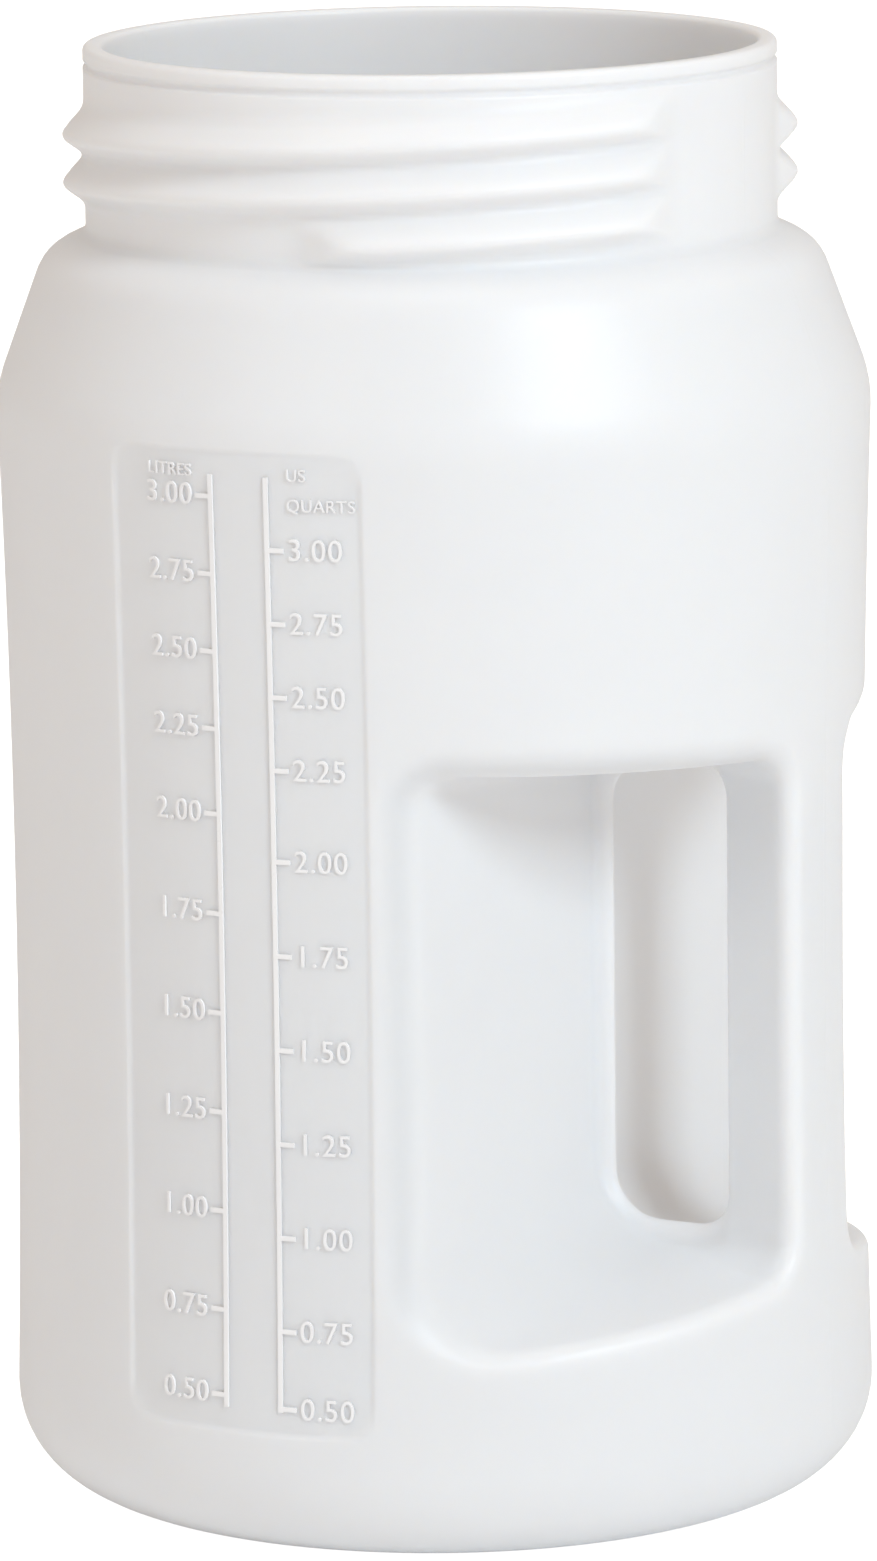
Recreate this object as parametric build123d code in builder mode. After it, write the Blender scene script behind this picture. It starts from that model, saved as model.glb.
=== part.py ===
"""Graduated wide-mouth fluid container with a moulded-in side grip, about 3 litres.

The real container is one blow moulding in natural polyethylene, open at the top. The script
shapes the whole moulding as a thin shell, then divides it into named regions that meet face to
face: rim, neck, thread, shoulder, walls, sight panel, grip and base, with the raised scale's
lines and ticks.

Frame: millimetres, origin at the centre of the base, +Z up, the grip towards +X and the sight
panel with its volume scale towards -Y. The mould parts on the plane Y = 0.
"""
import os
from math import cos, radians, sin, sqrt

from build123d import *

# ---- driving dimensions -------------------------------------------------------------------
# Body of revolution
foot_radius = 77.8          # outside radius just above the rounded foot
foot_round = 18.0           # radius of the rounded edge between wall and base
ring_width = 6.0            # flat standing ring inside the foot rounding
push_up = 4.0               # how far the middle of the base is raised
waist_draw = 1.7            # how much the wall draws in half-way up
top_draw = 0.5              # how much it draws in at its top
body_height = 199.5         # where the wall turns into the shoulder cone
body_blend = 28.0           # rounding between wall and shoulder cone
knee_radius = 68.8          # shoulder knee, between the cone and the top slope
knee_height = 222.6
knee_blend = 9.0
neck_radius = 61.3          # outside of the neck cylinder
neck_bottom = 226.0
neck_height = 33.0
neck_blend = 1.2
mouth_radius = 57.8         # clear bore of the mouth
wall = 1.8                  # moulded wall

# Lip: a flat land with a fine groove under it
lip_height = 2.6
groove_height = 1.2
groove_depth = 0.6

# Two-start coarse thread, broken at the mould parting plane
thread_rise = 3.9           # crest above the neck
thread_root = 0.3           # neck left plain between neighbouring ridges
thread_crest = 1.2          # flat on the crest
thread_lean = 0.7           # middle of the ridge sits this much above its crest
thread_sink = 1.0           # the ridge is shaped this deep, then cut back to the neck
thread_section_angle = 16.0 # a section of the ridge about every so many degrees
thread_pitch = 8.5          # distance between neighbouring ridges
thread_starts = 2
thread_sweep = 424.0        # degrees that each start runs round the neck
thread_first = -84.0        # degrees from +X where the first start begins
thread_above_root = 3.6     # crest of a start above the neck bottom where it begins
parting_gap = 20.0          # half the angle left plain at each side of the parting plane

# Grip: a pocket from each side, a pinched web between them and a finger hole through the web
pocket_wall = 31.8          # distance of the pocket's inner wall from the axis, at the web
pocket_floor = 46.5         # height of the pocket floor at the web
pocket_roof = 136.5         # height of the pocket roof at the web
pocket_bar = 60.0           # distance of the bar's inner edge from the axis, at the web
wall_draft = 0.03           # slopes: sideways travel for each millimetre of depth
floor_draft = 0.13
roof_draft = 0.05
bar_flare = 1.38
floor_corner = 12.0         # roundings along the pocket's corners
roof_corner = 6.0
bar_corner = 6.0            # roundings where floor and roof meet the bar
web_corner = 1.5            # rounding between the pocket walls and the web
web_half = 1.0              # half the thickness of the pinched web
web_rim = 3.0               # web left standing round the finger hole
hole_corner = 8.5
rim_round = 2.0             # rounding of the pocket's outer rim

# Sight panel and raised volume scale
panel_width = 47.6
panel_bottom = 24.0
panel_top = 196.0
panel_corner = 5.5
panel_depth = 0.5
mark_rise = 0.4             # height of the raised marks above the panel
litre_line = -3.1           # the two long scale lines, across from the panel's middle
quart_line = 7.5
line_width = 0.8
line_margin = 4.0           # panel left plain past the ends of the long lines
tick_length = 2.6
first_mark = 0.5            # lowest and highest volume marked, and the step between marks
last_mark = 3.0
mark_step = 0.25
first_mark_height = 30.1
round_step = 13.5           # height of a quarter litre where the body is round
grip_step = 17.5            # height of a quarter litre beside the grip
grip_zone_low = 38.0        # heights between which the grip narrows the inside
grip_zone_high = 139.0
quart_volume = 0.946        # litres in a US quart

# ---- derived sizes ------------------------------------------------------------------------
waist_radius = foot_radius - waist_draw
body_radius = foot_radius - top_draw
top = neck_bottom + neck_height
ring_outer = foot_radius - foot_round
ring_inner = ring_outer - ring_width
thread_lead = thread_pitch * thread_starts
thread_foot = thread_pitch - thread_root
reach = foot_radius + 15.0  # cutters run this far from the axis
hole_floor = pocket_floor + web_rim
hole_roof = pocket_roof - web_rim
hole_near = pocket_wall + web_rim
hole_far = pocket_bar - web_rim
mark_count = round((last_mark - first_mark) / mark_step) + 1
grip_low = pocket_floor - floor_draft * foot_radius - wall - rim_round
grip_high = pocket_roof + roof_draft * foot_radius + wall + rim_round
side_cut = panel_width / 2   # the grip zone begins at the edge of the sight panel
os.makedirs("parts", exist_ok=True)


def meet(point_a, slope_a, point_b, slope_b):
    """Where two lines meet, each given by a point (r, z) and its slope dr/dz."""
    z = (point_b[0] - point_a[0] + slope_a * point_a[1] - slope_b * point_b[1]) / (slope_a - slope_b)
    return point_a[0] + slope_a * (z - point_a[1]), z


def profile_corners(inset):
    """Shoulder corners of the profile moved inwards by inset: wall end and knee, plus top slope."""
    cone = (knee_radius - body_radius) / (knee_height - body_height)
    slope = (knee_radius - neck_radius) / (knee_height - neck_bottom)
    cone_point = (knee_radius - inset * sqrt(1 + cone * cone), knee_height)
    slope_point = (knee_radius, knee_height - inset * sqrt(1 + 1 / slope**2))
    wall_end = (body_radius - inset, knee_height + (body_radius - inset - cone_point[0]) / cone)
    knee = meet(cone_point, cone, slope_point, slope)
    return wall_end, knee, (slope_point, slope)


def body_form(inset, throat, rise):
    """Solid of revolution of the container, inset from its outside, with a neck of radius throat."""
    wall_end, knee, (slope_point, slope) = profile_corners(inset)
    root_z = slope_point[1] + (throat - slope_point[0]) / slope
    middle = (foot_round + body_height) / 2
    with BuildPart() as form:
        with BuildSketch(Plane.XZ) as profile:
            with BuildLine():
                ThreePointArc(
                    (0, push_up + inset),
                    (ring_inner / 2, 0.75 * push_up + inset),
                    (ring_inner, inset),
                )
                Line((ring_inner, inset), (ring_outer, inset))
                CenterArc((ring_outer, foot_round), foot_round - inset, -90, 90)
                ThreePointArc(
                    (foot_radius - inset, foot_round), (waist_radius - inset, middle), wall_end
                )
                Polyline(
                    wall_end, knee, (throat, root_z), (throat, top + rise), (0, top + rise),
                    (0, push_up + inset),
                )
            make_face()
            corners = profile.vertices()
            fillet(corners.sort_by_distance((wall_end[0], wall_end[1]))[0], body_blend - inset)
            corners = profile.vertices()
            fillet(corners.sort_by_distance((knee[0], knee[1]))[0], knee_blend - inset)
            corners = profile.vertices()
            fillet(corners.sort_by_distance((throat, root_z))[0], neck_blend + inset)
        revolve(axis=Axis.Z)
    return form.part


def distance_at_web(edge, place):
    """How far a long pocket edge starts from a place (x, z) on the web plane."""
    start = max((edge.position_at(0), edge.position_at(1)), key=lambda point: point.Y)
    return (Vector(start.X, 0, start.Z) - Vector(place[0], 0, place[1])).length


def grip_pocket(grow):
    """Both finger pockets, mirrored about the parting plane and grown outwards by grow."""
    near = web_half - grow

    def outline(depth):
        """Left, right, bottom and top of the pocket at a depth from the parting plane."""
        travel = depth - web_half
        return (
            pocket_wall - wall_draft * travel - grow * sqrt(1 + wall_draft**2),
            pocket_bar + bar_flare * travel + grow * sqrt(1 + bar_flare**2),
            pocket_floor - floor_draft * travel - grow * sqrt(1 + floor_draft**2),
            pocket_roof + roof_draft * travel + grow * sqrt(1 + roof_draft**2),
        )

    with BuildPart() as pocket:
        for depth in (near, reach):
            left, right, bottom, roof = outline(depth)
            with BuildSketch(Plane.XZ.offset(depth)):
                with BuildLine():
                    Polyline((left, bottom), (right, bottom), (right, roof), (left, roof), close=True)
                make_face()
        loft(ruled=True)
        for radius, place in (
            (floor_corner, (pocket_wall, pocket_floor)),
            (roof_corner, (pocket_wall, pocket_roof)),
            (bar_corner, (pocket_bar, pocket_floor)),
            (bar_corner, (pocket_bar, pocket_roof)),
        ):
            long_edges = pocket.edges().filter_by(lambda edge: edge.bounding_box().size.Y > reach / 2)
            fillet(long_edges.sort_by(lambda edge: distance_at_web(edge, place))[0], radius + grow)
        if grow == 0:
            fillet(pocket.faces().sort_by(Axis.Y)[-1].edges(), web_corner)
        mirror(about=Plane.XZ)
    return pocket.part


def cut_shell(low, high):
    """The part of the shell between two heights."""
    with BuildPart() as section:
        add(shell.part)
        split(bisect_by=Plane.XY.offset(low), keep=Keep.TOP)
        split(bisect_by=Plane.XY.offset(high), keep=Keep.BOTTOM)
    return section.part


def mark_height(litres):
    """Height of the surface when the container holds a volume."""
    low_volume = first_mark + (grip_zone_low - first_mark_height) / round_step * mark_step
    high_volume = low_volume + (grip_zone_high - grip_zone_low) / grip_step * mark_step
    if litres < low_volume:
        return first_mark_height + (litres - first_mark) / mark_step * round_step
    if litres < high_volume:
        return grip_zone_low + (litres - low_volume) / mark_step * grip_step
    return grip_zone_high + (litres - high_volume) / mark_step * round_step


def wall_radius(z):
    """Outside radius of the drawn-in wall at a height, on the arc through foot, waist and top."""
    low, high = Vector(foot_radius, foot_round), Vector(*profile_corners(0)[0])
    middle = Vector(waist_radius, (foot_round + body_height) / 2)
    chord, half = high - low, middle - low
    twice_area = 2 * (chord.X * half.Y - chord.Y * half.X)
    chord_square, half_square = chord.dot(chord), half.dot(half)
    centre = low + Vector(
        (chord_square * half.Y - half_square * chord.Y) / twice_area,
        (half_square * chord.X - chord_square * half.X) / twice_area,
    )
    return centre.X - sqrt((centre - low).length ** 2 - (z - centre.Y) ** 2)


def panel_plane(across, z):
    """Plane that touches the panel floor at a sideways distance and a height, facing outwards."""
    radius = wall_radius(z) - panel_depth
    turn = across / body_radius
    outward = (sin(turn), -cos(turn), 0)
    return Plane(
        origin=(radius * outward[0], radius * outward[1], z),
        x_dir=(cos(turn), sin(turn), 0),
        z_dir=outward,
    )


def thread_ridge(sweep_angle):
    """One unbroken thread ridge that begins at +X with its crest at Z = 0."""
    sections = round(sweep_angle / thread_section_angle)
    with BuildPart() as ridge:
        for index in range(sections + 1):
            turned = sweep_angle * index / sections
            outward = (cos(radians(turned)), sin(radians(turned)), 0)
            across = (sin(radians(turned)), -cos(radians(turned)), 0)
            origin = Vector(outward) * neck_radius + Vector(0, 0, turned / 360 * thread_lead)
            with BuildSketch(Plane(origin=origin, x_dir=outward, z_dir=across)):
                with BuildLine():
                    Polyline(
                        (-thread_sink, thread_lean - thread_foot / 2),
                        (0, thread_lean - thread_foot / 2),
                        (thread_rise, -thread_crest / 2),
                        (thread_rise, thread_crest / 2),
                        (0, thread_lean + thread_foot / 2),
                        (-thread_sink, thread_lean + thread_foot / 2),
                        close=True,
                    )
                make_face()
        loft()
        with BuildSketch(Plane.XY.offset(-neck_height)):
            Circle(neck_radius)
        extrude(amount=2 * neck_height, mode=Mode.SUBTRACT)
    return ridge.part


def finish(piece, name):
    """Label one finished region and write it as its own STEP file."""
    piece.label = name
    export_step(piece, f"parts/{name}.step")


# ---- the whole moulding -------------------------------------------------------------------
pocket_cut = grip_pocket(0)
outer_form = body_form(0, neck_radius, 0)
panel_floor = body_form(panel_depth, neck_radius, 0)
cavity_form = body_form(wall, mouth_radius, wall) - grip_pocket(wall)

with BuildPart() as moulding:
    add(outer_form)
    add(pocket_cut, mode=Mode.SUBTRACT)
    rim_edges = moulding.edges().filter_by(
        lambda edge: edge.position_at(0.5).X > 0
        and edge.length > rim_round
        and all(
            Vector(place.X, place.Y, 0).length > waist_radius - wall / 2
            for place in (edge.position_at(0), edge.position_at(0.5), edge.position_at(1))
        )
        and abs(edge.position_at(0.5).Y) > web_half
        and grip_low < edge.position_at(0.5).Z < grip_high
    )
    fillet(rim_edges, rim_round)
    add(cavity_form, mode=Mode.SUBTRACT)
    with BuildSketch(Plane.XZ):
        with Locations(((hole_near + hole_far) / 2, (hole_floor + hole_roof) / 2)):
            RectangleRounded(hole_far - hole_near, hole_roof - hole_floor, hole_corner)
    extrude(amount=reach, both=True, mode=Mode.SUBTRACT)
    with BuildSketch(Plane.XY.offset(top - lip_height)):
        Circle(neck_radius + wall)
        Circle(neck_radius - groove_depth, mode=Mode.SUBTRACT)
    extrude(amount=-groove_height, mode=Mode.SUBTRACT)

with BuildPart() as panel_prism:
    with BuildSketch(Plane.XZ.offset(body_radius / 2)):
        with Locations((0, (panel_bottom + panel_top) / 2)):
            RectangleRounded(panel_width, panel_top - panel_bottom, panel_corner)
    extrude(amount=body_radius)

with BuildPart() as recess:
    add(panel_prism.part)
    add(panel_floor, mode=Mode.SUBTRACT)

with BuildPart() as shell:
    add(moulding.part)
    add(recess.part, mode=Mode.SUBTRACT)

# ---- regions of the moulding, from the top down -------------------------------------------
groove_bottom = top - lip_height - groove_height
finish(cut_shell(groove_bottom, top), "mouth_rim")
finish(cut_shell(neck_bottom, groove_bottom), "neck_wall")

ridges = []
for start in range(thread_starts):
    first = thread_first + start * 360 / thread_starts
    last = first + thread_sweep
    for half_turn in range(-1, 5):
        low = max(first, 180 * half_turn + parting_gap)
        high = min(last, 180 * (half_turn + 1) - parting_gap)
        if high - low > parting_gap:
            crest = neck_bottom + thread_above_root + (low - first) / 360 * thread_lead
            ridges.append(thread_ridge(high - low).moved(Location((0, 0, crest), (0, 0, low))))
with BuildPart() as neck_thread:
    add(ridges)
finish(neck_thread.part, "neck_thread")

finish(cut_shell(body_height, neck_bottom), "shoulder")

wall_zones = {
    "upper_wall": (grip_high, body_height),
    "lower_wall": (foot_round, grip_low),
}
for name, (low, high) in wall_zones.items():
    band = cut_shell(low, high)
    with BuildPart() as zone:
        add(band)
        add(panel_prism.part, mode=Mode.SUBTRACT)
    finish(zone.part, name)

with BuildPart() as sight_panel:
    add(shell.part)
    add(panel_prism.part, mode=Mode.INTERSECT)
finish(sight_panel.part, "sight_panel")

grip_band = cut_shell(grip_low, grip_high)
with BuildPart() as side_wall:
    add(grip_band)
    split(bisect_by=Plane.YZ.offset(side_cut), keep=Keep.BOTTOM)
    add(panel_prism.part, mode=Mode.SUBTRACT)
finish(side_wall.part, "side_wall")

# The grip zone: the pocket's inner wall, its roof and floor, and the hollow bar
with BuildPart() as grip_zone:
    add(grip_band)
    split(bisect_by=Plane.YZ.offset(side_cut), keep=Keep.TOP)
bar_cut = hole_far - rim_round
roof_cut = hole_roof - hole_corner
floor_cut = hole_floor + hole_corner
with BuildPart() as grip_floor:
    add(grip_zone.part)
    split(bisect_by=Plane.XY.offset(floor_cut), keep=Keep.BOTTOM)
finish(grip_floor.part, "grip_floor")
with BuildPart() as grip_roof:
    add(grip_zone.part)
    split(bisect_by=Plane.XY.offset(roof_cut), keep=Keep.TOP)
finish(grip_roof.part, "grip_roof")
with BuildPart() as grip_middle:
    add(grip_zone.part)
    split(bisect_by=Plane.XY.offset(floor_cut), keep=Keep.TOP)
    split(bisect_by=Plane.XY.offset(roof_cut), keep=Keep.BOTTOM)
middle_solids = grip_middle.solids().sort_by(Axis.X)
finish(middle_solids[0], "pocket_wall")
finish(middle_solids[-1], "grip_bar")

finish(cut_shell(-wall, foot_round), "base")

# ---- raised volume scale ------------------------------------------------------------------
line_low = panel_bottom + line_margin
line_high = panel_top - line_margin
readings = [first_mark + index * mark_step for index in range(mark_count)]
with BuildPart() as volume_scale:
    for across, side, unit in ((litre_line, -1, 1), (quart_line, 1, quart_volume)):
        heights = (line_low, (line_low + line_high) / 2, line_high)
        with BuildLine() as route:
            ThreePointArc(*[panel_plane(across, z).origin for z in heights])
        start = panel_plane(across, line_low)
        with BuildSketch(Plane(origin=start.origin, x_dir=start.x_dir, z_dir=(0, 0, 1))):
            with Locations((0, -mark_rise / 2)):
                Rectangle(line_width, mark_rise)
        sweep(path=route.wires()[0])
        for reading in readings:
            beside = across + side * (line_width + tick_length) / 2
            with BuildSketch(panel_plane(beside, mark_height(reading * unit))):
                Rectangle(tick_length, line_width)
            extrude(amount=mark_rise)
finish(volume_scale.part, "volume_scale")
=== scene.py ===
"""Graduated wide-mouth fluid container with a pinched-through side grip.

The whole container is one thin blow moulding, so the visible model is one seamless closed shell
with its moulded-on scale. The shell is described by distance fields in millimetres, meshed on a
cylindrical grid and then moved exactly onto the field. The frame is the CAD model's: origin at the
middle of the base, +Z up, the grip towards +X and the sight panel towards -Y.
"""
import logging
import math
from dataclasses import dataclass, field
from enum import Enum
from typing import Any, Callable, Optional, Union

import bpy
import numpy as np
from mathutils import Matrix, Vector


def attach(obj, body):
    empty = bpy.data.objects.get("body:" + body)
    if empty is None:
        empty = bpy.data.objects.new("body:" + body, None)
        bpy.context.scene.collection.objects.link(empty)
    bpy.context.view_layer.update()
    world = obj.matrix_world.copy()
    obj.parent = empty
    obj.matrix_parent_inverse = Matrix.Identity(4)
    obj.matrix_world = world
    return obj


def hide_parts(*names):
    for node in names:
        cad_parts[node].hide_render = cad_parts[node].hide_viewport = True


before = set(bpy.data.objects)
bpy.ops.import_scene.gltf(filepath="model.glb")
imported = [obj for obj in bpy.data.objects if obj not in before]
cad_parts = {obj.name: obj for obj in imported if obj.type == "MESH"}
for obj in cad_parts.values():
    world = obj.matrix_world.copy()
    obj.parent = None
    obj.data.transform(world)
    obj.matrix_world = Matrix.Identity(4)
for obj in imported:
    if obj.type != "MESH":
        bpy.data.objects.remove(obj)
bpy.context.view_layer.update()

logging.basicConfig(level=logging.INFO, format="%(levelname)s %(message)s")
log = logging.getLogger("container")

MM = 0.001
NOWHERE_NEAR = 50.0  # millimetres, for a distance where a shape doesn't reach
BODY = "root"

Array = np.ndarray
Level = Union[Array, float]
Field = Callable[[Array, Array, Array], Array]
Pair = tuple[float, float]
Triple = tuple[float, float, float]
Colour = tuple[float, float, float, float]
Key = Union[str, int]
Values = dict[Key, Any]


# ---- node graphs ----
@dataclass(frozen=True)
class Wire:
    """A node's output socket that can be used in Python arithmetic."""

    graph: "NodeGraph"
    socket: bpy.types.NodeSocket

    def __add__(self, other: "Number") -> "Wire":
        """self + other."""
        return self.graph.maths("ADD", self, other)

    def __radd__(self, other: "Number") -> "Wire":
        """other + self."""
        return self.graph.maths("ADD", other, self)

    def __sub__(self, other: "Number") -> "Wire":
        """self - other."""
        return self.graph.maths("SUBTRACT", self, other)

    def __rsub__(self, other: "Number") -> "Wire":
        """other - self."""
        return self.graph.maths("SUBTRACT", other, self)

    def __mul__(self, other: "Number") -> "Wire":
        """self * other."""
        return self.graph.maths("MULTIPLY", self, other)

    def __rmul__(self, other: "Number") -> "Wire":
        """other * self."""
        return self.graph.maths("MULTIPLY", other, self)

    def __truediv__(self, other: "Number") -> "Wire":
        """self / other."""
        return self.graph.maths("DIVIDE", self, other)

    def __pow__(self, other: "Number") -> "Wire":
        """self ** other."""
        return self.graph.maths("POWER", self, other)


Number = Union[Wire, float]


@dataclass
class NodeGraph:
    """A material's or a modifier's node tree, with short ways to add nodes to it."""

    tree: bpy.types.NodeTree

    def node(
        self,
        kind: str,
        settings: Optional[dict[str, Any]] = None,
        values: Optional[Values] = None,
    ) -> bpy.types.Node:
        """Add one node.

        Args:
            kind: The node's type.
            settings: Properties of the node, set before its sockets.
            values: Links or plain values of its input sockets, by name or index.

        Returns:
            The new node.
        """
        made = self.tree.nodes.new(kind)
        for name, setting in (settings or {}).items():
            setattr(made, name, setting)
        for key, value in (values or {}).items():
            socket = made.inputs[key]
            if isinstance(value, Wire):
                self.tree.links.new(value.socket, socket)
            else:
                socket.default_value = value
        return made

    def wire(
        self,
        kind: str,
        output: Key = 0,
        settings: Optional[dict[str, Any]] = None,
        values: Optional[Values] = None,
    ) -> Wire:
        """Add one node and take one of its outputs.

        Args:
            kind: The node's type.
            output: Name or index of the output.
            settings: Properties of the node.
            values: Links or plain values of its input sockets.

        Returns:
            The output as a wire.
        """
        return Wire(self, self.node(kind, settings, values).outputs[output])

    def maths(self, operation: str, first: Number, second: Number = 0.0) -> Wire:
        """One Math node.

        Args:
            operation: The node's operation.
            first: First value.
            second: Second value, where the operation has one.

        Returns:
            The result.
        """
        return self.wire("ShaderNodeMath", 0, {"operation": operation}, {0: first, 1: second})

    def clamp(self, value: Number, low: Number, high: Number) -> Wire:
        """value kept between low and high."""
        return self.maths("MINIMUM", self.maths("MAXIMUM", value, low), high)

    def noise(self, place: Wire, scale: float, detail: float = 2.0) -> Wire:
        """Smooth noise from 0 to 1 over a place."""
        return self.wire(
            "ShaderNodeTexNoise", "Fac", {}, {"Vector": place, "Scale": scale, "Detail": detail}
        )

    def link(self, source: Wire, node: bpy.types.Node, key: Key) -> None:
        """Join a wire to a node's input."""
        self.tree.links.new(source.socket, node.inputs[key])

    def join(self, pieces: list[Wire]) -> Wire:
        """Several pieces of geometry as one."""
        joined = self.node("GeometryNodeJoinGeometry")
        for piece in pieces:
            self.link(piece, joined, 0)
        return Wire(self, joined.outputs[0])

    def principled(self, settings: dict[str, Any], values: Values) -> None:
        """End a material with a Principled shader of some settings and values."""
        shader = self.wire("ShaderNodeBsdfPrincipled", "BSDF", settings, values)
        self.node("ShaderNodeOutputMaterial", {}, {"Surface": shader})


def empty_material(name: str) -> tuple[bpy.types.Material, NodeGraph]:
    """A new material without nodes, and the graph to fill."""
    material = bpy.data.materials.new(name)
    material.use_nodes = True
    material.node_tree.nodes.clear()
    return material, NodeGraph(material.node_tree)


def put_in_scene(name: str, data: bpy.types.ID) -> bpy.types.Object:
    """A new object in the scene, at the origin."""
    made = bpy.data.objects.new(name, data)
    bpy.context.collection.objects.link(made)
    return made


# ---- finishes ----
@dataclass(frozen=True)
class MilkyPolyethylene:
    """Natural polyethylene: milky, waxy and slightly see-through.

    Attributes:
        tint, thin_tint: Base colours of thick plastic and of a little thinner plastic.
        cloud_roughness, grain_roughness: How much the clouds and the fine grain change the roughness.
        glow_depth: How far light spreads inside the plastic, in metres.
        glow_mix: Share of the light that spreads.
        glow_spread: How far red, green and blue spread, as shares of the depth.
        orange_peel: Height of the fine unevenness of a blown wall, in metres.
        peel_share, grain_share, drawn_share, seam_share: Heights of the round bumps, the grain, the
            upright streaks and the mould's parting line, as multiples of orange_peel.
        seam_half_width: Half the width of the parting line, in metres.
        cloud_scale, grain_scale, peel_scale, drawn_scale: How many of each there are in a metre.
        cloud_start, cloud_gain: Noise where a thinner cloud starts, and how fast it takes over.
    """

    name: str = "milky_polyethylene"
    tint: Colour = (0.88, 0.89, 0.905, 1.0)
    thin_tint: Colour = (0.855, 0.865, 0.885, 1.0)
    roughness: float = 0.42
    cloud_roughness: float = 0.12
    grain_roughness: float = 0.08
    refraction: float = 1.5
    glow_depth: float = 0.0035
    glow_mix: float = 0.75
    glow_spread: Triple = (1.0, 0.9, 0.8)
    orange_peel: float = 0.00008
    peel_strength: float = 0.35
    peel_share: float = 0.8
    grain_share: float = 0.1
    drawn_share: float = 0.7
    seam_share: float = 1.6
    seam_half_width: float = 0.0005
    cloud_scale: float = 22.0
    cloud_start: float = 0.35
    cloud_gain: float = 2.2
    grain_scale: float = 900.0
    peel_scale: float = 160.0
    drawn_scale: Triple = (300.0, 300.0, 45.0)

    def height(self, graph: NodeGraph, place: Wire, grain: Wire) -> Wire:
        """Height of the surface's fine unevenness and of the parting line.

        Args:
            graph: The material's node graph.
            place: The place on the piece.
            grain: The fine grain there.

        Returns:
            The height, as a multiple of orange_peel.
        """
        stretched = graph.wire(
            "ShaderNodeVectorMath", 0, {"operation": "MULTIPLY"}, {0: place, 1: self.drawn_scale}
        )
        across = graph.wire("ShaderNodeSeparateXYZ", "Y", {}, {"Vector": place})
        seam = graph.maths("MAXIMUM", 1 - graph.maths("ABSOLUTE", across) / self.seam_half_width, 0.0)
        peel = graph.noise(place, self.peel_scale) * self.peel_share
        drawn = graph.noise(stretched, 1.0) * self.drawn_share
        return peel + grain * self.grain_share + drawn + seam * self.seam_share

    def make(self) -> bpy.types.Material:
        """Build the material.

        Returns:
            The finished material.
        """
        material, graph = empty_material(self.name)
        place = graph.wire("ShaderNodeTexCoord", "Object")
        cloudy = graph.noise(place, self.cloud_scale, 3.0)
        grain = graph.noise(place, self.grain_scale)
        thinner = graph.clamp((cloudy - self.cloud_start) * self.cloud_gain, 0.0, 1.0)
        colour = graph.wire(
            "ShaderNodeMix",
            "Result",
            {"data_type": "RGBA"},
            {"Factor": thinner, "A": self.tint, "B": self.thin_tint},
        )
        bump = graph.wire(
            "ShaderNodeBump",
            "Normal",
            {},
            {
                "Strength": self.peel_strength,
                "Distance": self.orange_peel,
                "Height": self.height(graph, place, grain),
            },
        )
        uneven = (cloudy - 0.5) * self.cloud_roughness + (grain - 0.5) * self.grain_roughness
        graph.principled(
            {"subsurface_method": "RANDOM_WALK"},
            {
                "Base Color": colour,
                "Roughness": self.roughness + uneven,
                "Normal": bump,
                "IOR": self.refraction,
                "Subsurface Weight": self.glow_mix,
                "Subsurface Radius": self.glow_spread,
                "Subsurface Scale": self.glow_depth,
            },
        )
        return material


@dataclass(frozen=True)
class PaleFloor:
    """The studio floor's finish: plain, bright and matt.

    Attributes:
        mottle_roughness, mottle_scale: Change of the roughness from spot to spot, and spots in a metre.
        near_glow: Brightness that is added where the floor is looked at, near the object.
        far_glow: The same far away, where the lights don't reach, so that it stays clean white.
        cast_share: Share of that brightness that lights anything. It is small, so that the floor is
            clean white and yet throws little light up.
        near_reach, far_reach: Where the one brightness starts and ends to change into the other, in
            metres from the middle.
    """

    name: str = "pale_floor"
    tint: Colour = (0.86, 0.86, 0.86, 1.0)
    roughness: float = 0.8
    mottle_roughness: float = 0.1
    mottle_scale: float = 3.0
    near_glow: float = 0.86
    far_glow: float = 0.96
    cast_share: float = 0.12
    near_reach: float = 0.5
    far_reach: float = 1.6

    def make(self) -> bpy.types.Material:
        """Build the material.

        Returns:
            The finished material.
        """
        material, graph = empty_material(self.name)
        place = graph.wire("ShaderNodeTexCoord", "Object")
        mottle = graph.noise(place, self.mottle_scale)
        away = graph.wire("ShaderNodeVectorMath", "Value", {"operation": "LENGTH"}, {0: place})
        share = graph.clamp((away - self.near_reach) / (self.far_reach - self.near_reach), 0.0, 1.0)
        seen = graph.wire("ShaderNodeLightPath", "Is Camera Ray")
        felt = seen * (1 - self.cast_share) + self.cast_share
        glow = felt * (share * (self.far_glow - self.near_glow) + self.near_glow)
        grey = graph.wire("ShaderNodeCombineColor", "Color", {}, {0: glow, 1: glow, 2: glow})
        graph.principled(
            {},
            {
                "Base Color": self.tint,
                "Roughness": self.roughness + mottle * self.mottle_roughness,
                "Emission Color": grey,
                "Emission Strength": 1.0,
            },
        )
        return material


# ---- distance fields, in millimetres ----
def round_meet(first: Array, second: Array, radius: Level) -> Array:
    """Common part of two shapes that cross at about a right angle, its edge rounded.

    Args:
        first: Distance to the first shape, negative inside.
        second: Distance to the second shape.
        radius: Radius of the rounding, which may change from place to place.

    Returns:
        Distance to the common part.
    """
    corner = np.hypot(np.maximum(first + radius, 0), np.maximum(second + radius, 0))
    return np.minimum(np.maximum(first, second), -radius) + corner


def soft_meet(first: Array, second: Array, blend: float) -> Array:
    """Common part of two shapes that cross at a wide angle.

    Args:
        first: Distance to the first shape, negative inside.
        second: Distance to the second shape.
        blend: Width over which the two are blended.

    Returns:
        Distance to the common part.
    """
    near = np.maximum(blend - np.abs(first - second), 0) / blend
    return np.maximum(first, second) + near * near * blend / 4


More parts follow.
